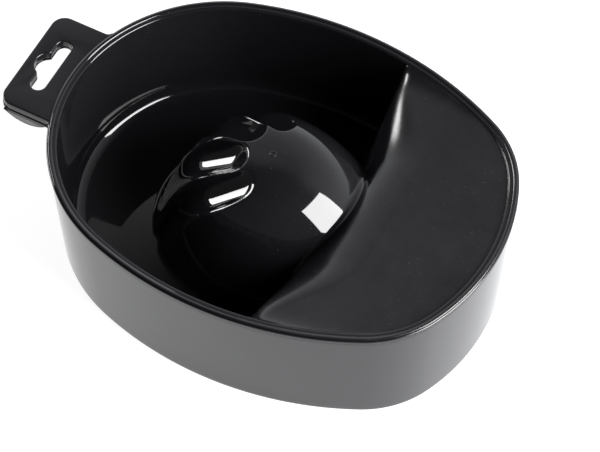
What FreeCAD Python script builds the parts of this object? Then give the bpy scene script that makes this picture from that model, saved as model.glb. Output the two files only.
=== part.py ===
import FreeCAD, Part
import math
import os
import Sketcher

# Hand soaking bowl for a manicure: an inner tray with a palm dome, finger
# grooves and a wrist deck, dropped into an outer shell that stands on the table.
# X runs along the bowl with the hanging tab at -X and the wrist end at +X.
# Z is up, z = 0 is the table and the origin is under the middle of the whole
# length.  The bowl is the same on both sides of the XZ plane.

doc = FreeCAD.newDocument("HandSoakingBowl")
sheet = doc.addObject("Spreadsheet::Sheet", "dims")

DRIVING = [
    ("bowl_length", 180.0),      # rim, tab left out
    ("rim_height", 52.8),        # table to top of rim
    ("tab_end_radius", 65.8),    # rim arc round the tab end
    ("tab_end_sweep", 71.6),     # degrees of it on one side
    ("side_radius", 141.0),      # long gentle side arc
    ("side_sweep", 45.0),
    ("corner_radius", 43.0),     # tighter arc beside the wrist end
    ("draft_inset", 2.7),        # how far the walls lean in, rim to table
    ("lip_step", 0.3),           # lip stands out past the shell wall
    ("lip_depth", 1.4),          # lip face
    ("shell_wall", 1.8),
    ("wall_gap", 0.2),           # between shell wall and tray wall
    ("tray_wall", 1.7),
    ("floor_top", 6.0),          # basin floor
    ("floor_thick", 2.0),
    ("floor_fillet", 5.0),       # basin wall to floor
    ("dome_x", -5.6),            # palm dome's middle, from the middle of the bowl
    ("dome_top", 58.0),
    ("crown_radius", 58.7),      # arcs of the dome's profile, top to foot
    ("crown_angle", 10.0),       # degrees of slope where each arc ends
    ("shoulder_radius", 23.0),
    ("shoulder_angle", 45.0),
    ("flank_radius", 50.0),
    ("flank_angle", 70.0),
    ("heel_length", 46.0),       # the dome runs out further to the wrist side
    ("heel_half_width", 40.0),
    ("skin", 2.2),               # dome and deck thickness
    ("skirt_radius", 62.0),      # basin floor rises gently to the dome's foot
    ("skirt_rise", 8.1),
    ("deck_face_x", 20.0),       # upright front of the wrist deck
    ("deck_mid_x", 60.0),
    ("deck_mid_z", 50.7),
    ("deck_slope", 2.4),         # degrees, rising to the wrist end
    ("deck_dish", 0.0003),       # sides higher than the middle, times y squared
    ("nose_edge_radius", 6.0),   # deck's front edge at the side walls
    ("nose_mid_radius", 27.0),   # and behind the dome
    ("nose_edge_y", 64.0),
    ("nose_mid_y", 24.0),
    ("deck_half_width", 80.0),
    ("inner_groove_x", -18.0),   # head of a middle finger groove
    ("inner_groove_y", 8.8),
    ("inner_groove_turn", 11.0),
    ("inner_groove_radius", 6.6),
    ("inner_groove_z", 47.5),    # groove floor at the head
    ("outer_groove_x", -6.0),
    ("outer_groove_y", 21.0),
    ("outer_groove_turn", 24.0),
    ("outer_groove_radius", 6.8),
    ("outer_groove_z", 47.5),
    ("groove_fall", 33.0),       # degrees, falling outwards
    ("groove_length", 42.0),
    ("tab_reach", 108.2),        # middle of the bowl to the tab's edge
    ("tab_width", 46.0),
    ("tab_thick", 3.4),
    ("tab_corner", 5.5),
    ("slot_x", -95.2),           # straight side of the hanging slot
    ("slot_length", 25.0),
    ("slot_end_width", 6.2),
    ("slot_bump_radius", 5.2),
    ("slot_bump_x", -99.6),      # centre of the bump
    ("under_tab_thick", 1.2),    # shell's plate under the tab
    ("web_radius", 13.0),        # ribs under the tab's side edges
    ("web_x", -96.5),
    ("web_low_z", 44.4),
    ("web_thick", 1.8),
]
DERIVED = [
    ("frame_shift", "=(tab_reach - bowl_length / 2) / 2"),
    ("one_cx", "=-bowl_length / 2 + tab_end_radius"),
    ("sweep_two", "=tab_end_sweep + side_sweep"),
    ("two_cx", "=one_cx + (side_radius - tab_end_radius) * cos(tab_end_sweep * 1deg)"),
    ("two_cy", "=(tab_end_radius - side_radius) * sin(tab_end_sweep * 1deg)"),
    ("three_cx", "=two_cx + (corner_radius - side_radius) * cos(sweep_two * 1deg)"),
    ("three_cy", "=two_cy + (side_radius - corner_radius) * sin(sweep_two * 1deg)"),
    ("end_gap", "=bowl_length / 2 - three_cx"),
    ("wrist_radius", "=(end_gap ^ 2 + three_cy ^ 2 - corner_radius ^ 2)"
                     " / (2 * (end_gap - corner_radius))"),
    ("wrist_cx", "=bowl_length / 2 - wrist_radius"),
    ("shell_top", "=rim_height - lip_depth"),
    ("tray_top_inset", "=lip_step + shell_wall + wall_gap"),
    ("inner_top_inset", "=tray_top_inset + tray_wall"),
    ("lean", "=draft_inset / shell_top"),
    ("under_z", "=floor_top - floor_thick"),
    ("under_tab_z", "=rim_height - tab_thick - under_tab_thick / 2"),
    ("above_z", "=rim_height + 8"),
    ("table_z", "=0 * rim_height"),
    ("below_z", "=table_z - 4"),
]
for row, (alias, value) in enumerate(DRIVING + DERIVED, start=1):
    cell = "A%d" % row
    sheet.set(cell, str(value))
    sheet.setAlias(cell, alias)
doc.recompute()


def dim(alias):
    """A plain number from the sheet."""
    value = getattr(sheet, alias)
    return float(getattr(value, "Value", value))


def outline_sketch(name, height, inset):
    """The egg-shaped outline at a height, all arcs moved in by an inset.

    height and inset are expressions of the sheet's aliases.
    """
    sketch = doc.addObject("Sketcher::SketchObject", name)
    row = sheet_row(name + "_in", inset)
    offset = dim(row)
    one = dim("tab_end_sweep")
    two = one + dim("side_sweep")
    three = 180 - math.degrees(math.atan2(
        dim("three_cy"), dim("three_cx") - dim("wrist_cx")))

    def arc(cx, cy, radius, start, stop):
        circle = Part.Circle(FreeCAD.Vector(cx, cy, 0), FreeCAD.Vector(0, 0, 1),
                             radius - offset)
        return Part.ArcOfCircle(circle, math.radians(start), math.radians(stop))

    geometry = [
        arc(dim("one_cx"), 0, dim("tab_end_radius"), 180 - one, 180 + one),
        arc(dim("two_cx"), -dim("two_cy"), dim("side_radius"), 180 + one, 180 + two),
        arc(dim("three_cx"), -dim("three_cy"), dim("corner_radius"),
            180 + two, 180 + three),
        arc(dim("wrist_cx"), 0, dim("wrist_radius"), 180 + three, 540 - three),
        arc(dim("three_cx"), dim("three_cy"), dim("corner_radius"),
            180 - three, 180 - two),
        arc(dim("two_cx"), dim("two_cy"), dim("side_radius"), 180 - two, 180 - one),
    ]
    for piece in geometry:
        sketch.addGeometry(piece, False)
    for this in range(6):
        sketch.addConstraint(Sketcher.Constraint("Tangent", this, 2, (this + 1) % 6, 1))
    for end in (0, 3):
        sketch.addConstraint(Sketcher.Constraint("PointOnObject", end, 3, -1))
    sketch.addConstraint(Sketcher.Constraint("Equal", 1, 5))
    sketch.addConstraint(Sketcher.Constraint("Equal", 2, 4))
    rules = [
        (("DistanceX", -1, 1, 0, 3, dim("one_cx")), "dims.one_cx"),
        (("DistanceX", -1, 1, 3, 3, dim("wrist_cx")), "dims.wrist_cx"),
        (("Radius", 0, dim("tab_end_radius") - offset),
         "dims.tab_end_radius - dims." + row),
        (("Radius", 1, dim("side_radius") - offset), "dims.side_radius - dims." + row),
        (("Radius", 2, dim("corner_radius") - offset),
         "dims.corner_radius - dims." + row),
        (("Radius", 3, dim("wrist_radius") - offset), "dims.wrist_radius - dims." + row),
    ]
    reach = (dim("tab_end_radius") - offset) * math.sin(math.radians(one))
    half = "(dims.tab_end_radius - dims.%s) * sin(dims.tab_end_sweep * 1deg)" % row
    rules.append((("DistanceY", 0, 2, -1, 1, reach), half))
    rules.append((("DistanceY", -1, 1, 0, 1, reach), half))
    for rule, expression in rules:
        index = sketch.addConstraint(Sketcher.Constraint(*rule))
        sketch.setExpression("Constraints[%d]" % index, expression)
    sketch.setExpression("Placement.Base.z", "dims." + height)
    return sketch


def sheet_row(alias, formula):
    """Add a derived value to the sheet and give back its alias."""
    row = 1
    while sheet.getContents("A%d" % row):
        row += 1
    sheet.set("A%d" % row, "=" + formula)
    sheet.setAlias("A%d" % row, alias)
    doc.recompute()
    return alias


def loft(name, low_height, low_inset, high_height, high_inset):
    """A solid between two of the egg-shaped outlines."""
    low = outline_sketch(name + "_low", low_height, low_inset)
    high = outline_sketch(name + "_high", high_height, high_inset)
    solid = doc.addObject("Part::Loft", name)
    solid.Sections = [low, high]
    solid.Solid = True
    solid.Ruled = True
    return solid


def cut(name, base, tool):
    result = doc.addObject("Part::Cut", name)
    result.Base = base
    result.Tool = tool
    return result


def fuse(name, shapes):
    result = doc.addObject("Part::MultiFuse", name)
    result.Shapes = shapes
    return result


def common(name, shapes):
    result = doc.addObject("Part::MultiCommon", name)
    result.Shapes = shapes
    return result


def fillet(name, base, radius, pick):
    """Round the edges that pick chooses."""
    doc.recompute()
    result = doc.addObject("Part::Fillet", name)
    result.Base = base
    chosen = [n for n, edge in enumerate(base.Shape.Edges, start=1) if pick(edge)]
    result.Edges = [(n, radius, radius) for n in chosen]
    return result


def groove_run(name, kind, side, grow, early):
    """The straight run of a finger groove, falling away from the palm."""
    turn = math.radians(180 - side * dim(kind + "_groove_turn"))
    fall = math.radians(dim("groove_fall"))
    along = FreeCAD.Vector(math.cos(turn) * math.cos(fall),
                           math.sin(turn) * math.cos(fall), -math.sin(fall))
    tube = doc.addObject("Part::Cylinder", name + "_run")
    tube.setExpression("Radius", "dims.%s_groove_radius + %g" % (kind, grow))
    tube.setExpression("Height", "dims.groove_length + %g" % early)
    tube.Placement.Rotation = FreeCAD.Rotation(FreeCAD.Vector(0, 0, 1), along)
    at_start(tube, kind, side, along * -early)
    return tube


def groove_head(name, kind, side):
    """The round end of a finger groove on the palm."""
    head = doc.addObject("Part::Sphere", name + "_head")
    head.setExpression("Radius", "dims.%s_groove_radius" % kind)
    at_start(head, kind, side, FreeCAD.Vector(0, 0, 0))
    return head


def at_start(shape, kind, side, shift):
    """Put a groove tool at the groove's start, moved by a small shift."""
    start = "dims.%s_groove_" % kind
    shape.setExpression("Placement.Base.x", "%sx + %g" % (start, shift.x))
    shape.setExpression("Placement.Base.y", "%d * %sy + %g" % (side, start, shift.y))
    shape.setExpression("Placement.Base.z",
                        "%sz + %sradius + %g" % (start, start, shift.z))


def dome_profile(name, shrink):
    """Half the dome's upright section: three tangent arcs and a straight foot."""
    angles = [math.radians(dim(n + "_angle")) for n in ("crown", "shoulder", "flank")]
    radii = [dim(n + "_radius") for n in ("crown", "shoulder", "flank")]
    centre = FreeCAD.Vector(0, dim("dome_top") - radii[0], 0)
    sketch = doc.addObject("Sketcher::SketchObject", name + "_profile")
    before = 0.0
    for n, (radius, angle) in enumerate(zip(radii, angles)):
        circle = Part.Circle(centre, FreeCAD.Vector(0, 0, 1), radius - shrink)
        arc = Part.ArcOfCircle(circle, math.pi / 2 - angle, math.pi / 2 - before)
        sketch.addGeometry(arc, False)
        rule = Sketcher.Constraint("Radius", n, radius - shrink)
        index = sketch.addConstraint(rule)
        kind = ("crown", "shoulder", "flank")[n]
        sketch.setExpression("Constraints[%d]" % index,
                             "dims.%s_radius - %g" % (kind, shrink))
        foot = arc.StartPoint
        if n < 2:
            step = radii[n] - radii[n + 1]
            centre = centre + FreeCAD.Vector(step * math.sin(angle),
                                             step * math.cos(angle), 0)
        before = angle
    low = dim("below_z")
    spread = (foot.y - low) / math.tan(angles[2])
    corner = FreeCAD.Vector(foot.x + spread, low, 0)
    base = FreeCAD.Vector(0, low, 0)
    top = FreeCAD.Vector(0, dim("dome_top") - shrink, 0)
    for start, end in ((foot, corner), (corner, base), (base, top)):
        sketch.addGeometry(Part.LineSegment(start, end), False)
    joins = [("Tangent", 0, 1, 1, 2), ("Tangent", 1, 1, 2, 2), ("Tangent", 2, 1, 3, 1),
             ("Coincident", 3, 2, 4, 1), ("Coincident", 4, 2, 5, 1),
             ("Coincident", 5, 2, 0, 2), ("Vertical", 5), ("Horizontal", 4)]
    for join in joins:
        sketch.addConstraint(Sketcher.Constraint(*join))
    sketch.Placement.Rotation = FreeCAD.Rotation(FreeCAD.Vector(1, 0, 0), 90)
    sketch.setExpression("Placement.Base.x", "dims.dome_x")
    return sketch


def dome_spun(name, shrink):
    """The round part of the dome, a set distance under its skin."""
    spun = doc.addObject("Part::Revolution", name + "_spun")
    spun.Source = dome_profile(name, shrink)
    spun.Axis = FreeCAD.Vector(0, 0, 1)
    spun.setExpression("Base.x", "dims.dome_x")
    spun.Angle = 360
    spun.Solid = True
    return spun


def dome_heel(name, shrink):
    """The long low heel of the dome that runs towards the wrist."""
    heel = doc.addObject("Part::Ellipsoid", name + "_heel")
    heel.setExpression("Radius1", "dims.dome_top - dims.floor_top - %g" % shrink)
    heel.setExpression("Radius2", "dims.heel_length - %g" % shrink)
    heel.setExpression("Radius3", "dims.heel_half_width - %g" % shrink)
    heel.setExpression("Placement.Base.x", "dims.dome_x")
    heel.setExpression("Placement.Base.z", "dims.floor_top - 0.4")
    return heel


def palm_dome():
    """The palm dome with its heel towards the wrist and its four finger grooves."""
    shape = fuse("palm_whole", [dome_spun("palm", 0), dome_heel("palm", 0)])
    for kind in ("inner", "outer"):
        for side in (-1, 1):
            label = "palm_%s%d" % (kind, side + 1)
            for n, tool in enumerate((groove_run(label, kind, side, 0, 0),
                                      groove_head(label, kind, side))):
                shape = cut("%s_cut%d" % (label, n), shape, tool)
    return shape


def palm_hollow():
    """The open space under the dome: its round part, clear of the grooves, and its heel."""
    skin = dim("skin")
    shape = dome_spun("under_palm", skin)
    for kind in ("inner", "outer"):
        for side in (-1, 1):
            label = "under_%s%d" % (kind, side + 1)
            early = 0.8 * (dim(kind + "_groove_radius") + skin)
            tool = groove_run(label, kind, side, skin, early)
            shape = cut(label + "_cut", shape, tool)
    block = doc.addObject("Part::Box", "wrist_side")
    block.Length, block.Width, block.Height = 80, 100, 90
    block.setExpression("Placement.Base.x", "dims.dome_x + 6")
    block.Placement.Base.y = -50
    block.setExpression("Placement.Base.z", "dims.below_z")
    heel = common("under_heel", [dome_heel("under_palm", skin), block])
    return shape, heel


def deck_section(name, y, blend, shrink):
    """One upright section of the wrist deck, a set distance from the middle."""
    edge, middle = dim("nose_edge_radius"), dim("nose_mid_radius")
    full = edge + (middle - edge) * blend
    slope = math.radians(dim("deck_slope"))
    cx = dim("deck_face_x") + full
    level = dim("deck_mid_z") + dim("deck_dish") * y * y
    cz = level + (cx - dim("deck_mid_x")) * math.tan(slope) - full / math.cos(slope)
    radius = full - shrink
    back = dim("bowl_length") / 2 + 5
    low = dim("below_z")

    def at(x, z):
        return FreeCAD.Vector(x, z, 0)

    top = at(cx - radius * math.sin(slope), cz + radius * math.cos(slope))
    front = at(cx - radius, cz)
    end = at(back, top.y + (back - top.x) * math.tan(slope))
    circle = Part.Circle(at(cx, cz), FreeCAD.Vector(0, 0, 1), radius)
    sketch = doc.addObject("Sketcher::SketchObject", name)
    pieces = [
        Part.ArcOfCircle(circle, math.pi / 2 + slope, math.pi),
        Part.LineSegment(front, at(front.x, low)),
        Part.LineSegment(at(front.x, low), at(back, low)),
        Part.LineSegment(at(back, low), end),
        Part.LineSegment(end, top),
    ]
    for piece in pieces:
        sketch.addGeometry(piece, False)
    rules = [("Tangent", 0, 2, 1, 1), ("Coincident", 1, 2, 2, 1),
             ("Coincident", 2, 2, 3, 1), ("Coincident", 3, 2, 4, 1),
             ("Tangent", 4, 2, 0, 1), ("Vertical", 1), ("Horizontal", 2), ("Vertical", 3)]
    for rule in rules:
        sketch.addConstraint(Sketcher.Constraint(*rule))
    full_text = "(dims.nose_edge_radius + (dims.nose_mid_radius - dims.nose_edge_radius)"
    full_text += " * %g)" % blend
    sized = [
        (("DistanceX", -1, 1, 0, 3, cx), "dims.deck_face_x + " + full_text),
        (("Radius", 0, radius), full_text + " - %g" % shrink),
        (("DistanceX", -1, 1, 3, 1, back), "dims.bowl_length / 2 + 5"),
    ]
    for rule, expression in sized:
        index = sketch.addConstraint(Sketcher.Constraint(*rule))
        sketch.setExpression("Constraints[%d]" % index, expression)
    sketch.Placement = FreeCAD.Placement(
        FreeCAD.Vector(0, y, 0), FreeCAD.Rotation(FreeCAD.Vector(1, 0, 0), 90))
    return sketch


def deck(name, shrink):
    """The wrist deck: its front edge is tight at the walls and full behind the dome."""
    edge, middle, far = dim("nose_edge_y"), dim("nose_mid_y"), dim("deck_half_width")
    steps = 4
    stations = [(far, 0.0)]
    for n in range(steps + 1):
        part = n / steps
        stations.append((edge + (middle - edge) * part, part * part * (3 - 2 * part)))
    line = [(-y, blend) for y, blend in stations] + [(0.0, 1.0)]
    line += [(y, blend) for y, blend in reversed(stations)]
    sections = [deck_section("%s_at_%d" % (name, n), y, blend, shrink)
                for n, (y, blend) in enumerate(line)]
    block = doc.addObject("Part::Loft", name)
    block.Sections = sections
    block.Solid = True
    block.Ruled = True
    return block


def skirt(name):
    """A very flat cone that lifts the basin floor towards the dome's foot."""
    cone = doc.addObject("Part::Cone", name)
    cone.setExpression("Radius1", "dims.skirt_radius")
    cone.Radius2 = 0
    cone.setExpression("Height", "dims.skirt_rise")
    cone.setExpression("Placement.Base.x", "dims.dome_x")
    cone.setExpression("Placement.Base.z", "dims.floor_top")
    return cone


def tab_plate(name, grow, thick, top):
    """The hanging tab's outline as a rounded plate that runs into the rim."""
    reach = "(dims.tab_reach + %s)" % grow
    half_width = "(dims.tab_width / 2 + %s)" % grow
    body = doc.addObject("Part::Box", name)
    body.setExpression("Length", reach + " - dims.bowl_length / 2 + 12")
    body.setExpression("Width", "2 * " + half_width)
    body.setExpression("Height", thick)
    body.setExpression("Placement.Base.x", "-" + reach)
    body.setExpression("Placement.Base.y", "-" + half_width)
    body.setExpression("Placement.Base.z", top + " - " + thick)
    outer = -dim("tab_reach")

    def upright_outer(edge):
        box = edge.BoundBox
        return box.ZLength > 1 and box.XMax < outer + 0.01

    return fillet(name + "_round", body, dim("tab_corner"), upright_outer)


def tab_web(name, y):
    """A curved rib under one side edge of the tab, shaped as a shallow bow."""
    disc = doc.addObject("Part::Cylinder", name + "_disc")
    disc.setExpression("Radius", "dims.web_radius")
    disc.setExpression("Height", "dims.web_thick")
    disc.Placement.Rotation = FreeCAD.Rotation(FreeCAD.Vector(1, 0, 0), 90)
    disc.setExpression("Placement.Base.x", "dims.web_x")
    disc.setExpression("Placement.Base.y", y)
    disc.setExpression("Placement.Base.z", "dims.web_low_z + dims.web_radius")
    below = doc.addObject("Part::Box", name + "_below")
    below.setExpression("Length", "2 * dims.web_radius")
    below.setExpression("Width", "4 * dims.web_thick")
    below.setExpression("Height", "dims.under_tab_z - dims.web_low_z + 1")
    below.setExpression("Placement.Base.x", "dims.web_x - dims.web_radius")
    below.setExpression("Placement.Base.y", y + " - 2 * dims.web_thick")
    below.setExpression("Placement.Base.z", "dims.web_low_z - 1")
    return common(name, [disc, below])


def prism(name, radius, x, y):
    peg = doc.addObject("Part::Cylinder", name)
    peg.setExpression("Radius", radius)
    peg.setExpression("Height", "dims.tab_thick + 12")
    peg.setExpression("Placement.Base.x", x)
    peg.setExpression("Placement.Base.y", y)
    peg.setExpression("Placement.Base.z", "dims.rim_height - dims.tab_thick - 10")
    return peg


def hanging_slot(name):
    """A long slot with rounded ends and a rounded bump on its outer side."""
    half = "dims.slot_length / 2 - dims.slot_end_width / 2"
    x = "dims.slot_x - dims.slot_end_width / 2"
    ends = [prism(name + "_near", "dims.slot_end_width / 2", x, "-(" + half + ")"),
            prism(name + "_far", "dims.slot_end_width / 2", x, half)]
    bump = prism(name + "_bump", "dims.slot_bump_radius", "dims.slot_bump_x", "0")
    middle = doc.addObject("Part::Box", name + "_middle")
    middle.setExpression("Length", "dims.slot_end_width")
    middle.setExpression("Width", "2 * (" + half + ")")
    middle.setExpression("Height", "dims.tab_thick + 12")
    middle.setExpression("Placement.Base.x", "dims.slot_x - dims.slot_end_width")
    middle.setExpression("Placement.Base.y", "-(" + half + ")")
    middle.setExpression("Placement.Base.z", "dims.rim_height - dims.tab_thick - 10")
    return fuse(name, ends + [bump, middle])


def build_tray():
    """Rim flange, thin basin, palm dome, wrist deck and the tab's top plate."""
    lean_low = "lean * (shell_top - under_z)"
    flange = loft("flange", "shell_top", "0 * lip_step", "rim_height", "0 * lip_step")
    wall = loft("tray_wall_solid", "under_z", "tray_top_inset + " + lean_low,
                "rim_height", "tray_top_inset")
    basin = loft("basin", "floor_top", "inner_top_inset + lean * (shell_top - floor_top)",
                 "above_z", "inner_top_inset - lean * 8")
    floor = dim("floor_top")

    def at_floor(edge):
        return edge.BoundBox.ZMax < floor + 0.01

    rounded = fillet("basin_rounded", basin, dim("floor_fillet"), at_floor)
    palm = palm_dome()
    raised = fuse("raised", [palm, deck("wrist", 0), skirt("dome_skirt")])
    hollow = cut("hollow", rounded, raised)
    plate = tab_plate("tab", "0 * dims.lip_step", "dims.tab_thick", "dims.rim_height")
    inside = loft("inside_rim", "under_z", "tray_top_inset", "above_z", "tray_top_inset")
    tab = cut("tab_top", plate, inside)
    crown = common("crown", [palm, inside])
    opened = cut("opened", fuse("outside", [flange, wall, tab, crown]), hollow)
    limit = loft("under_limit", "under_z", "inner_top_inset + " + lean_low,
                 "above_z", "inner_top_inset - lean * 8")
    under_deck = common("under_deck", [deck("under_wrist", dim("skin")), limit])
    under_dome, under_heel = palm_hollow()
    light = cut("light_wrist", opened, under_deck)
    light = cut("light_palm", cut("light_heel", light, under_heel), under_dome)
    return cut("tray", light, hanging_slot("slot")), tab


def build_shell(tab):
    """The leaning outer wall, open below, with a thin plate and two ribs at the tab."""
    outer = loft("shell_outer", "table_z", "lip_step + draft_inset",
                 "shell_top", "lip_step")
    inner = loft("shell_inner", "below_z", "lip_step + draft_inset + shell_wall + lean * 4",
                 "above_z", "lip_step + shell_wall - lean * (above_z - shell_top)")
    plate = tab_plate("under_tab", "dims.lip_step", "dims.under_tab_thick",
                      "(dims.rim_height - dims.tab_thick)")
    edge = "dims.tab_width / 2 + dims.lip_step"
    webs = [tab_web("web_far", edge), tab_web("web_near", "-(" + edge + ") + dims.web_thick")]
    ring = cut("ring", fuse("shell_solid", [outer, plate] + webs), inner)
    return cut("shell", cut("seated", ring, tab), hanging_slot("shell_slot"))


def finish(label, shape):
    """Move a piece into the frame whose origin is under the whole length's middle."""
    shape.Label = label
    shape.setExpression("Placement.Base.x", "dims.frame_shift")
    return shape


tray, tab_top = build_tray()
pieces = [finish("inner_tray", tray), finish("outer_shell", build_shell(tab_top))]
doc.recompute()

for item in doc.Objects:
    if "Invalid" in item.State or "Error" in item.State:
        raise RuntimeError("%s failed: %s" % (item.Name, item.State))
os.makedirs("parts", exist_ok=True)
for piece in pieces:
    shape = piece.Shape
    if shape.isNull() or not shape.isValid() or len(shape.Solids) != 1:
        raise RuntimeError(piece.Label + " is not one valid solid")
    print(piece.Label, "%.1f cm3" % (shape.Volume / 1000), shape.BoundBox)
    shape.exportStep("parts/%s.step" % piece.Label)
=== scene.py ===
import math

import bpy
import numpy as np
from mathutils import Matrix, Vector


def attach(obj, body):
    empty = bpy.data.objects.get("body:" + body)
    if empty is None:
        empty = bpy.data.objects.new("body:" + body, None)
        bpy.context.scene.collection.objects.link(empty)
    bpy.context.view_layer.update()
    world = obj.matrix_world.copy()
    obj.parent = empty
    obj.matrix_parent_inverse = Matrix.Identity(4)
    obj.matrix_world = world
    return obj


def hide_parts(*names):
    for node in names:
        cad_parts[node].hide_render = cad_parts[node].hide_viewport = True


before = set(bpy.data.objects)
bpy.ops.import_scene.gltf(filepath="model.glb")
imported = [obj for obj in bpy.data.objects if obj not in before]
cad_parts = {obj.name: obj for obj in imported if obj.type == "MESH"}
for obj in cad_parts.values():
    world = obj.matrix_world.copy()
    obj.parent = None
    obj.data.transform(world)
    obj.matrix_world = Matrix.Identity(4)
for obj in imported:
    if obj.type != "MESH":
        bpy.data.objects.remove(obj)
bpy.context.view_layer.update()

# All lengths below are millimetres in the bowl's own axes: x along the bowl from
# its middle, y across, z up from the table.  place() turns them into the frame.
MM = 0.001
LENGTH = 180.0
RIM = 52.8
TAB_END_R, SIDE_R, CORNER_R = 65.8, 141.0, 43.0
TAB_END_SWEEP, SIDE_SWEEP = 71.6, 45.0
LEAN = 2.7 / 51.4            # how much the walls lean in per mm of height
SHELL_TOP = 51.4
TRAY_TOP_INSET = 4.0         # rim's inner edge
FLOOR = 6.0
TAB_REACH, TAB_HALF, TAB_THICK = 108.2, 23.0, 3.4
SHIFT = (TAB_REACH - LENGTH / 2) / 2
HUB_X = -5.0                 # where the rings of the tray's mesh close, near the dome's middle
SKIN_THICK = 1.7             # thickness of the tray's visible skin
RIM_ROUND = 0.7              # rounding of the rim's edges
RIM_SIDE = RIM - RIM_ROUND   # height where the rim's rounding starts
LIP_LOW, LIP_ROUND = 51.42, 0.35   # underside of the rim's lip and its lower rounding
COLUMNS, INNER_ROWS = 480, 150     # how finely the tray's mesh is divided


def place(points):
    """Bowl millimetres to frame metres."""
    out = np.array(points, float)
    out[:, 0] += SHIFT
    return out * MM


def smooth(value):
    value = np.clip(value, 0.0, 1.0)
    return value * value * (3 - 2 * value)


def soft_max(a, b, width):
    """The larger of two heights, blended where they are within width."""
    gap = np.clip(0.5 + 0.5 * (a - b) / width, 0, 1)
    return b + (a - b) * gap + width * gap * (1 - gap)


def soft_min(a, b, width):
    return -soft_max(-a, -b, width)


# ---------------------------------------------------------------- the outline

def outline_arcs():
    """Tangent arcs of the egg-shaped rim: centre, radius, normal angles."""
    one = math.radians(TAB_END_SWEEP)
    two = one + math.radians(SIDE_SWEEP)
    c1 = np.array([-LENGTH / 2 + TAB_END_R, 0.0])
    c2 = c1 + (TAB_END_R - SIDE_R) * np.array([-math.cos(one), math.sin(one)])
    c3 = c2 + (SIDE_R - CORNER_R) * np.array([-math.cos(two), math.sin(two)])
    gap = LENGTH / 2 - c3[0]
    wrist_r = (gap ** 2 + c3[1] ** 2 - CORNER_R ** 2) / (2 * (gap - CORNER_R))
    c4 = np.array([LENGTH / 2 - wrist_r, 0.0])
    three = math.pi - math.atan2(c3[1], c3[0] - c4[0])
    far = [(c1, TAB_END_R, math.pi, math.pi - one),
           (c2, SIDE_R, math.pi - one, math.pi - two),
           (c3, CORNER_R, math.pi - two, math.pi - three),
           (c4, wrist_r, math.pi - three, 0.0)]
    near = [(np.array([c[0], -c[1]]), r, -b, -a) for c, r, a, b in reversed(far)]
    return far + near


def outline_columns(count):
    """Evenly spaced columns round the rim: centre, radius and outward normal."""
    arcs = outline_arcs()
    lengths = [r * (a - b) for _, r, a, b in arcs]
    total = sum(lengths)
    centres, radii, normals = [], [], []
    for n in range(count):
        want = total * n / count
        for (c, r, a, b), length in zip(arcs, lengths):
            if want <= length:
                angle = a - want / r
                break
            want -= length
        centres.append(c)
        radii.append(r)
        normals.append((math.cos(angle), math.sin(angle)))
    return np.array(centres), np.array(radii), np.array(normals)


# ------------------------------------------------------- the tray's inner form

# The wrist rest: where its front face stands, its height, where its crown ends,
# the crown and dish per square millimetre, and how its front edge's radius grows
# from the walls (NOSE_MIN at NOSE_FLAT from the middle) over NOSE_FADE.

DECK_FACE, DECK_TOP, DECK_END = 20.0, 52.0, 85.0
DECK_CROWN, DECK_DISH = 0.00098, 0.0005
NOSE_MIN, NOSE_GROW, NOSE_FLAT, NOSE_FADE = 6.0, 21.0, 64.0, 40.0
# The dome: its middle, its reach to the tab, to the wrist and to the sides, its
# height and how sharply it falls; then the skirt of floor that rises towards it.
DOME_X, DOME_TAB, DOME_WRIST, DOME_WIDE = -5.6, 43.5, 58.0, 42.0
DOME_TOP, DOME_POWER, WRIST_POWER = 58.0, 3.2, 2.6
SKIRT_REACH, SKIRT_RISE = 62.0, 0.15
DOME_BLEND, SKIRT_BLEND = 3.5, 6.0
FOOT_SLOPE = 3.3             # slope past the dome's foot, as a share of its height
FACE_SLOPE = 12              # slope of the wrist rest's front face


def deck_height(x, y):
    """The wrist rest: a slight crown and dish, and a front edge rounder mid-way."""
    radius = NOSE_MIN + NOSE_GROW * smooth((NOSE_FLAT - np.abs(y)) / NOSE_FADE)
    centre = DECK_FACE + radius
    back = np.clip(centre - x, 0, radius)
    drop = radius - np.sqrt(radius ** 2 - back ** 2 * 0.9995)
    top = DECK_TOP - DECK_CROWN * np.minimum(np.maximum(x, centre) - DECK_END, 0) ** 2
    dish = DECK_DISH * y ** 2 * smooth((DECK_END - x) / 30) - 0.4
    past = np.maximum(DECK_FACE - x, 0)
    return top + dish - drop - past * FACE_SLOPE


def dome_height(x, y):
    """The palm dome: a broad crown that falls steeply, gentler to the wrist."""
    length = np.where(x > DOME_X, DOME_WRIST, DOME_TAB)
    along, over = (x - DOME_X) / length, y / DOME_WIDE
    reach = np.sqrt(along ** 2 + over ** 2) + 1e-6
    turn = np.clip(along / reach, 0, 1) ** 2
    power = DOME_POWER + (WRIST_POWER - DOME_POWER) * turn
    fall = np.minimum(reach, 1) ** power + np.maximum(reach - 1, 0) * FOOT_SLOPE
    return DOME_TOP - (DOME_TOP - FLOOR) * fall


def skirt_height(x, y):
    """The floor rises a little towards the foot of the dome."""
    away = np.sqrt((x - DOME_X) ** 2 + y ** 2)
    return FLOOR + SKIRT_RISE * soft_max(SKIRT_REACH - away, 0 * x, SKIRT_BLEND)


# Each finger scoop on one side of the middle: start, direction, floor, fall,
# radius, edge rounding and the run after which it falls away faster.  The other side is its mirror image.
SCOOPS = (
    {"x": -16.5, "y": 7.4, "turn": 10.0, "floor": 51.0, "fall": 36.0, "radius": 7.0,
     "edge": 4.5, "run": 12.0},
    {"x": -5.5, "y": 17.4, "turn": 22.0, "floor": 52.5, "fall": 36.0, "radius": 7.5,
     "edge": 1.6, "run": 12.0},
)


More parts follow.
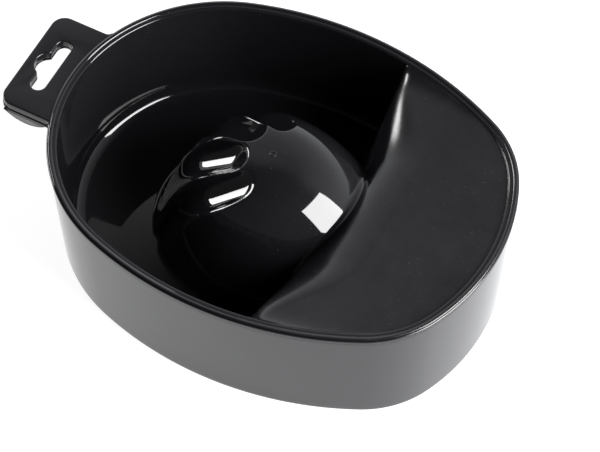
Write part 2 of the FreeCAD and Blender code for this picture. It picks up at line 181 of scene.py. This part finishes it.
def scoop_height(x, y, scoop):
    """A falling round-bottomed channel with a round end."""
    turn = math.radians(scoop["turn"])
    dx, dy = x - scoop["x"], y - scoop["y"]
    along = -dx * math.cos(turn) + dy * math.sin(turn)
    across = dx * math.sin(turn) + dy * math.cos(turn)
    off = np.sqrt(across ** 2 + np.minimum(along, 0) ** 2)
    past = np.maximum(along - scoop["run"], 0)
    floor = scoop["floor"] - along * math.tan(math.radians(scoop["fall"])) - 0.05 * past ** 2
    radius = scoop["radius"]
    inside = np.minimum(off, radius * 0.97)
    round_part = radius - np.sqrt(radius ** 2 - inside ** 2)
    return floor + round_part + (off - inside) * 4


def inner_height(x, y):
    """Height of the tray's upper surface, walls left out."""
    dome = dome_height(x, y)
    for scoop in SCOOPS:
        for side in (-1, 1):
            dome = soft_min(dome, scoop_height(x, side * y, scoop), scoop["edge"])
    form = soft_max(dome, deck_height(x, y), DOME_BLEND)
    return soft_max(form, skirt_height(x, y), SKIRT_BLEND)


def height_at(x, y):
    """Height of the tray's upper surface at one spot."""
    return float(inner_height(np.array([x]), np.array([y]))[0])


def tray_rings(columns):
    """Rows of points from under the lip, over the rim and down to the middle."""
    centre, radius, normal = columns

    def at(inset, z):
        xy = centre + (radius - inset)[:, None] * normal
        return np.column_stack([xy, z])

    one = np.ones(len(radius))
    rows = []
    rim = [(inset, LIP_LOW) for inset in (2.25, 1.2, 0.45)]
    rim += [(LIP_ROUND * (1 - math.sin(a)), LIP_LOW + LIP_ROUND * (1 - math.cos(a)))
            for a in np.linspace(0.3, math.pi / 2, 4)]
    rim += [(0.0, 51.95)]
    rim += [(RIM_ROUND - RIM_ROUND * math.cos(a), RIM_SIDE + RIM_ROUND * math.sin(a))
            for a in np.linspace(0, math.pi / 2, 7)]
    rim += [(inset, RIM) for inset in (1.1, 1.6, 2.3, 2.9)]
    for inset, z in rim:
        rows.append(at(inset * one, z * one))
    probe = at((TRAY_TOP_INSET + 3.5) * one, one)
    local = inner_height(probe[:, 0], probe[:, 1])
    # The wall's inner fillet: tight at the wrist end, fuller round the basin, and
    # a little fuller again where the wrist rest's front edge meets the wall.
    wide = 0.35 + 5.4 * smooth((68 - probe[:, 0]) / 34)
    wide += 2.0 * smooth((local - 40) / 6) * smooth((58 - probe[:, 0]) / 20)
    turn = np.minimum(wide, np.maximum(RIM_SIDE - local, 0.15))
    low = np.minimum(local + turn, RIM_SIDE)
    for a in np.linspace(0.15, math.pi / 2, 5):
        z = RIM_SIDE + RIM_ROUND * math.cos(a)
        inset = TRAY_TOP_INSET - RIM_ROUND + RIM_ROUND * math.sin(a)
        rows.append(at(inset * one, z * one))
    inset_low = TRAY_TOP_INSET + LEAN * (RIM_SIDE - low)
    for step in np.linspace(0, 1, 26)[1:]:
        z = RIM_SIDE + (low - RIM_SIDE) * step
        rows.append(at(TRAY_TOP_INSET + LEAN * (RIM_SIDE - z), z))
    for a in np.linspace(0, math.pi / 2, 9)[1:]:
        inset = inset_low + wide * (1 - math.cos(a))
        spot = at(inset, one)
        base = inner_height(spot[:, 0], spot[:, 1])
        fade = turn * (1 - math.sin(a))
        rows.append(at(inset, base + fade))
    edge = rows[-1].copy()
    hub = np.array([HUB_X, 0.0])
    for n in range(1, INNER_ROWS):
        part = n / INNER_ROWS
        xy = edge[:, :2] + (hub - edge[:, :2]) * part
        rows.append(np.column_stack([xy, inner_height(xy[:, 0], xy[:, 1])]))
    return np.array(rows)


def grid_mesh(name, rows, close_pole=None):
    """A smooth mesh from rows of points that all go round the same way."""
    row_count, column_count = rows.shape[:2]
    verts = rows.reshape(-1, 3)
    index = np.arange(row_count * column_count).reshape(row_count, column_count)
    nxt = np.roll(index, -1, axis=1)
    quads = np.stack([index[:-1], index[1:], nxt[1:], nxt[:-1]], axis=-1).reshape(-1, 4)
    faces = quads.tolist()
    if close_pole is not None:
        verts = np.vstack([verts, close_pole])
        last = len(verts) - 1
        faces += [[int(a), last, int(b)] for a, b in zip(index[-1], nxt[-1])]
    mesh = bpy.data.meshes.new(name)
    mesh.from_pydata(place(verts).tolist(), [], faces)
    mesh.validate()
    mesh.shade_smooth()
    obj = bpy.data.objects.new(name, mesh)
    bpy.context.scene.collection.objects.link(obj)
    return obj


def satin_and_sheen_mask(points):
    """How satin the surface is, which also sets where a painted sheen lifts the colour: 1 on the wrist
    rest, 0 in the polished basin.
    """
    x, y, z = points[:, 0], points[:, 1], points[:, 2]
    clear_of_dome = smooth((np.sqrt((x - DOME_X) ** 2 + y ** 2) - 37) / 5)
    on_wrist_side = smooth((x - DECK_FACE + 3) / 4)
    high_enough = smooth((z - 43.5) / 3.5)
    below_rim = smooth((RIM - 0.05 - z) / 0.2)
    return clear_of_dome * on_wrist_side * high_enough * below_rim


def make_tray():
    rows = tray_rings(outline_columns(COLUMNS))
    pole = [[HUB_X, 0.0, height_at(HUB_X, 0.0)]]
    tray = grid_mesh("tray_body", rows, pole)
    # This mask sets the wrist rest's rougher satin finish and also where the material paints a sheen into
    # its colour.
    satin_and_sheen = tray.data.attributes.new("satin_and_sheen", "FLOAT", "POINT")
    satin_and_sheen.data.foreach_set("value", satin_and_sheen_mask(np.vstack([rows.reshape(-1, 3), pole])))
    thick = tray.modifiers.new("thickness", "SOLIDIFY")
    thick.thickness = SKIN_THICK * MM
    thick.offset = -1
    thick.use_even_offset = False
    return tray


def make_shell():
    """The outer wall: a thin leaning ring with a rounded lower edge."""
    centre, radius, normal = outline_columns(COLUMNS)
    one = np.ones(len(radius))

    def inset_at(z):
        return 0.3 + LEAN * (SHELL_TOP - z)

    profile = [(inset_at(SHELL_TOP) + 1.7, SHELL_TOP), (inset_at(SHELL_TOP) + 0.25, SHELL_TOP),
               (inset_at(SHELL_TOP - 0.1) + 0.05, SHELL_TOP - 0.1)]
    profile += [(inset_at(z), z) for z in np.linspace(51.1, 0.9, 30)]
    foot = inset_at(0)
    profile += [(foot + 0.6 - 0.6 * math.cos(a), 0.6 - 0.6 * math.sin(a))
                for a in np.linspace(0.2, math.pi / 2, 6)]
    profile += [(foot + 1.4, 0.0), (foot + 1.7, 0.2), (foot + 1.8, 0.6)]
    profile += [(inset_at(z) + 1.8, z) for z in np.linspace(2, 50.9, 12)]
    profile += [profile[0]]
    rows = []
    for inset, z in profile:
        xy = centre + (radius - inset * one)[:, None] * normal
        rows.append(np.column_stack([xy, z * one]))
    return grid_mesh("shell_body", np.array(rows))


# --------------------------------------------------------------------- the tab

def arc_points(cx, cy, radius, start, stop, count):
    return [(cx + radius * math.cos(a), cy + radius * math.sin(a))
            for a in np.radians(np.linspace(start, stop, count))]


def tab_outline(grow, root):
    """Plan of the tab, going round from the near root to the far root."""
    reach, half, corner = TAB_REACH + grow, TAB_HALF + grow, 5.5 + grow
    hollow = 2.2
    join = -LENGTH / 2 + TAB_END_R - math.sqrt((TAB_END_R - 0.4) ** 2 - half ** 2)
    side = arc_points(join - hollow, -(half + hollow), hollow, 20, 90, 6)
    side += arc_points(-reach + corner, -half + corner, corner, 270, 180, 10)
    mirror = [(x, -y) for x, y in reversed(side)]
    start = math.degrees(math.asin((half + 1.2) / (TAB_END_R - root)))
    inner = arc_points(-LENGTH / 2 + TAB_END_R, 0, TAB_END_R - root,
                       180 - start, 180 + start, 24)
    return side + mirror + inner


def slot_outline():
    """The hanging slot: straight on the bowl side, a rounded bump on the other."""
    half, end = 9.4, 3.1
    x_mid = -95.2 - end
    bump_x, bump_r = -99.6, 5.2
    points = arc_points(x_mid, half, end, 0, 180, 12)
    fillet = 1.4
    reach = bump_r + fillet
    fx = x_mid - end - fillet
    fy = math.sqrt(max(reach ** 2 - (fx - bump_x) ** 2, 0.01))
    turn = math.degrees(math.atan2(-fy, bump_x - fx))
    points += arc_points(fx, fy, fillet, 0, turn, 6)
    stop = math.degrees(math.atan2(fy, fx - bump_x))
    points += arc_points(bump_x, 0, bump_r, stop, 360 - stop, 14)
    points += [(x, -y) for x, y in reversed(arc_points(fx, fy, fillet, 0, turn, 6))]
    points += arc_points(x_mid, -half, end, 180, 360, 12)
    return points


def plate(name, outlines, low, high, bevel):
    """A flat plate with rounded edges from closed plan outlines; holes stay open."""
    curve = bpy.data.curves.new(name, "CURVE")
    curve.dimensions = "2D"
    curve.fill_mode = "BOTH"
    curve.extrude = (high - low) / 2 * MM - bevel * MM
    curve.bevel_depth = bevel * MM
    curve.bevel_resolution = 4
    curve.offset = -bevel * MM
    for outline in outlines:
        spline = curve.splines.new("POLY")
        spline.points.add(len(outline) - 1)
        for point, (x, y) in zip(spline.points, outline):
            point.co = ((x + SHIFT) * MM, y * MM, 0, 1)
        spline.use_cyclic_u = True
    middle = (low + high) / 2 * MM
    temp = bpy.data.objects.new(name + "_curve", curve)
    bpy.context.scene.collection.objects.link(temp)
    depsgraph = bpy.context.evaluated_depsgraph_get()
    mesh = bpy.data.meshes.new_from_object(temp.evaluated_get(depsgraph))
    bpy.data.objects.remove(temp)
    for vert in mesh.vertices:
        vert.co.z += middle
    obj = bpy.data.objects.new(name, mesh)
    bpy.context.scene.collection.objects.link(obj)
    weld = obj.modifiers.new("weld", "WELD")
    weld.merge_threshold = 0.00001
    mesh.shade_smooth()
    return obj


def web(name, side):
    """A bow-shaped rib that hangs under one side edge of the tab."""
    radius, mid_x, low, top = 13.0, -96.5, 44.4, 48.4
    half = math.sqrt(radius ** 2 - (radius - (top - low)) ** 2)
    angle = math.degrees(math.asin(half / radius))
    bow = arc_points(mid_x, low + radius, radius, 270 - angle, 270 + angle, 24)
    outer = side * (TAB_HALF + 0.3)
    inner = side * (TAB_HALF - 1.5)
    edge = 0.35
    rings = []
    for y, drop in ((inner, 0), (outer - side * edge, 0), (outer, edge)):
        rings.append([(x, y, z + (drop if z < top - edge else 0)) for x, z in bow])
    verts = [p for ring in rings for p in ring]
    count = len(bow)
    faces = []
    for level in range(2):
        for n in range(count - 1):
            a = level * count + n
            faces.append([a, a + 1, a + 1 + count, a + count])
    faces.append(list(range(2 * count, 3 * count)))
    faces.append(list(reversed(range(count))))
    mesh = bpy.data.meshes.new(name)
    mesh.from_pydata(place(verts).tolist(), [], faces)
    mesh.shade_smooth()
    obj = bpy.data.objects.new(name, mesh)
    bpy.context.scene.collection.objects.link(obj)
    split = obj.modifiers.new("edges", "EDGE_SPLIT")
    split.split_angle = math.radians(50)
    return obj


def gate_mark():
    """The small round mark left by moulding on top of the palm dome."""
    gate_x = -2.6
    sides = 32
    rows = []
    for radius, rise in ((1.35, -0.05), (1.15, 0.12), (0.95, 0.16), (0.7, 0.02),
                         (0.4, 0.0), (0.15, 0.08)):
        ring = []
        for n in range(sides):
            angle = 2 * math.pi * n / sides
            x, y = gate_x + radius * math.cos(angle), radius * math.sin(angle)
            ring.append((x, y, height_at(x, y) + rise))
        rows.append(ring)
    middle = [gate_x, 0.0, height_at(gate_x, 0.0) + rise]
    return grid_mesh("gate_mark", np.array(rows), [middle])


# ------------------------------------------------------------------- materials

def plastic(name, roughness, scuff, speck, satin_rough=None):
    """Black moulded plastic: fine scuffs, dust specks, a slight waviness and, where the satin mask is
    set, a painted sheen in the colour.
    """
    material = bpy.data.materials.new(name)
    material.use_nodes = True
    nodes, links = material.node_tree.nodes, material.node_tree.links
    shader = nodes["Principled BSDF"]
    shader.inputs["IOR"].default_value = 1.5
    coords = nodes.new("ShaderNodeTexCoord")

    def noise(scale, detail, rough):
        node = nodes.new("ShaderNodeTexNoise")
        node.inputs["Scale"].default_value = scale
        node.inputs["Detail"].default_value = detail
        node.inputs["Roughness"].default_value = rough
        links.new(coords.outputs["Object"], node.inputs["Vector"])
        return node.outputs["Fac"]

    def ramp(source, low, high, start, stop):
        node = nodes.new("ShaderNodeMapRange")
        node.inputs["From Min"].default_value = low
        node.inputs["From Max"].default_value = high
        node.inputs["To Min"].default_value = start
        node.inputs["To Max"].default_value = stop
        links.new(source, node.inputs["Value"])
        return node.outputs["Result"]

    def join(kind, one, two):
        node = nodes.new("ShaderNodeMath")
        node.operation = kind
        links.new(one, node.inputs[0])
        links.new(two, node.inputs[1])
        return node.outputs["Value"]

    cloud = ramp(noise(28, 5, 0.6), 0.35, 0.7, roughness, roughness + scuff)
    fine = ramp(noise(900, 3, 0.7), 0.55, 0.8, 0, scuff)
    total = join("ADD", cloud, fine)
    dust_and_sheen = ramp(noise(1500, 2, 0.5), 0.70, 0.78, 0, speck)
    if satin_rough:
        mask = nodes.new("ShaderNodeAttribute")
        mask.attribute_name = "satin_and_sheen"
        patchy = ramp(noise(45, 6, 0.65), 0.3, 0.75, satin_rough - 0.08, satin_rough + 0.08)
        total = join("ADD", total, join("MULTIPLY", mask.outputs["Fac"], patchy))
        # Painted sheen: inside the satin mask the base colour is lifted a little towards grey, standing
        # in for light that the rough wrist rest scatters. The colour factor below carries this sheen
        # together with the dust specks.
        painted_sheen = ramp(noise(70, 5, 0.7), 0.35, 0.7, 0.0, 0.022)
        dust_and_sheen = join("ADD", dust_and_sheen, join("MULTIPLY", mask.outputs["Fac"], painted_sheen))
    links.new(total, shader.inputs["Roughness"])
    colour = nodes.new("ShaderNodeMix")
    colour.data_type = "RGBA"
    colour.inputs["A"].default_value = (0.006, 0.006, 0.007, 1)
    colour.inputs["B"].default_value = (0.18, 0.18, 0.19, 1)
    links.new(dust_and_sheen, colour.inputs["Factor"])
    links.new(colour.outputs["Result"], shader.inputs["Base Color"])
    bump = nodes.new("ShaderNodeBump")
    bump.inputs["Strength"].default_value = 0.05
    bump.inputs["Distance"].default_value = 0.0004
    links.new(noise(14, 2, 0.4), bump.inputs["Height"])
    links.new(bump.outputs["Normal"], shader.inputs["Normal"])
    return material


def floor_material():
    material = bpy.data.materials.new("pale_floor")
    material.use_nodes = True
    shader = material.node_tree.nodes["Principled BSDF"]
    shader.inputs["Base Color"].default_value = (0.32, 0.325, 0.335, 1)
    shader.inputs["Roughness"].default_value = 0.65
    shader.inputs["Emission Color"].default_value = (1, 1, 1, 1)
    shader.inputs["Emission Strength"].default_value = 0.86
    return material


# ---------------------------------------------------------- build and assemble

tray = make_tray()
shell = make_shell()
tab_top = plate("tab_plate", [tab_outline(0, 3.5), slot_outline()],
                RIM - TAB_THICK, RIM + 0.03, 0.55)
tab_under = plate("tab_underplate", [tab_outline(0.3, 1.2), slot_outline()],
                  RIM - TAB_THICK - 1.2, RIM - TAB_THICK, 0.3)
webs = [web("tab_rib_near", -1), web("tab_rib_far", 1)]
gate = gate_mark()

tray_black = plastic("tray_black", 0.03, 0.04, 0.25, 0.2)
tab_black = plastic("tab_black", 0.16, 0.08, 0.12)
shell_black = plastic("shell_black", 0.07, 0.05, 0.2)
for piece in (tray, tab_top, gate):
    piece.data.materials.clear()
    piece.data.materials.append(tab_black if piece is tab_top else tray_black)
    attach(piece, "root")
for piece in [shell, tab_under] + webs:
    piece.data.materials.clear()
    piece.data.materials.append(shell_black)
    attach(piece, "root")
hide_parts("inner_tray")
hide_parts("outer_shell")

# ------------------------------------------------------- floor, light, camera

FLOOR_HALF = 3.0             # metres


def make_floor():
    half = FLOOR_HALF
    corners = [(-half, -half, 0), (half, -half, 0), (half, half, 0), (-half, half, 0)]
    mesh = bpy.data.meshes.new("floor")
    mesh.from_pydata(corners, [], [[0, 1, 2, 3]])
    floor = bpy.data.objects.new("floor", mesh)
    bpy.context.scene.collection.objects.link(floor)
    floor.data.materials.append(floor_material())


def area_light(name, spot, target, width, height, power):
    data = bpy.data.lights.new(name, "AREA")
    data.shape = "RECTANGLE"
    data.size, data.size_y = width, height
    data.energy = power
    lamp = bpy.data.objects.new(name, data)
    bpy.context.scene.collection.objects.link(lamp)
    lamp.location = spot
    look = Vector(target) - Vector(spot)
    lamp.rotation_euler = look.to_track_quat("-Z", "Y").to_euler()


def toward(turn, rise, distance):
    """A spot in the studio from compass turn, rise in degrees and distance."""
    turn, rise = math.radians(turn), math.radians(rise)
    return (distance * math.cos(rise) * math.cos(turn),
            distance * math.cos(rise) * math.sin(turn), distance * math.sin(rise))


def make_sky():
    """A studio that is bright at the horizon behind the bowl and dark overhead."""
    world = bpy.data.worlds.new("studio")
    bpy.context.scene.world = world
    world.use_nodes = True
    nodes, links = world.node_tree.nodes, world.node_tree.links
    direction = nodes.new("ShaderNodeTexCoord")
    split = nodes.new("ShaderNodeSeparateXYZ")
    links.new(direction.outputs["Generated"], split.inputs["Vector"])
    sky = nodes.new("ShaderNodeValToRGB")
    links.new(split.outputs["Z"], sky.inputs["Fac"])
    horizon, overhead = sky.color_ramp.elements
    horizon.position = 0.2
    horizon.color = (1.2, 1.22, 1.26, 1)
    overhead.position = 0.93
    overhead.color = (0.03, 0.03, 0.035, 1)
    for height, level in ((0.5, 0.75), (0.72, 0.55), (0.83, 0.38), (0.88, 0.2)):
        step = sky.color_ramp.elements.new(height)
        step.color = (level, level, level * 1.04, 1)
    behind = nodes.new("ShaderNodeMapRange")
    behind.interpolation_type = "SMOOTHSTEP"
    behind.inputs["From Min"].default_value = 0.1
    behind.inputs["From Max"].default_value = 0.46
    behind.inputs["To Min"].default_value = 0.1
    links.new(split.outputs["Y"], behind.inputs["Value"])
    links.new(sky.outputs["Color"], nodes["Background"].inputs["Color"])
    links.new(behind.outputs["Result"], nodes["Background"].inputs["Strength"])


CAMERA_AZIMUTH, CAMERA_RISE = 27.87, 56.20     # degrees
CAMERA_DISTANCE = 1.2137                       # metres
CAMERA_AIM = (3.08, 10.56)                     # millimetres, in the bowl's own axes
SENSOR_WIDTH, FOCAL_LENGTH = 36, 188.184


def make_camera():
    data = bpy.data.cameras.new("camera")
    camera = bpy.data.objects.new("camera", data)
    bpy.context.scene.collection.objects.link(camera)
    bpy.context.scene.camera = camera
    turn, rise = math.radians(CAMERA_AZIMUTH), math.radians(CAMERA_RISE)
    back = Vector((math.sin(turn) * math.cos(rise),
                   -math.cos(turn) * math.cos(rise), math.sin(rise)))
    aim = Vector(((CAMERA_AIM[0] + SHIFT) * MM, CAMERA_AIM[1] * MM, 0))
    camera.location = aim + back * CAMERA_DISTANCE
    camera.rotation_euler = back.to_track_quat("Z", "Y").to_euler()
    data.sensor_width = SENSOR_WIDTH
    data.lens = FOCAL_LENGTH
    data.clip_end = 20


BOWL_MIDDLE = (0, 0, 0.04)
make_floor()
area_light("window_right", toward(1, 25, 1.2), BOWL_MIDDLE, 0.85, 1.0, 56)
area_light("window_left", toward(178, 17, 1.3), BOWL_MIDDLE, 0.62, 0.3, 11)
make_sky()
make_camera()
bpy.context.scene.view_settings.view_transform = "Standard"
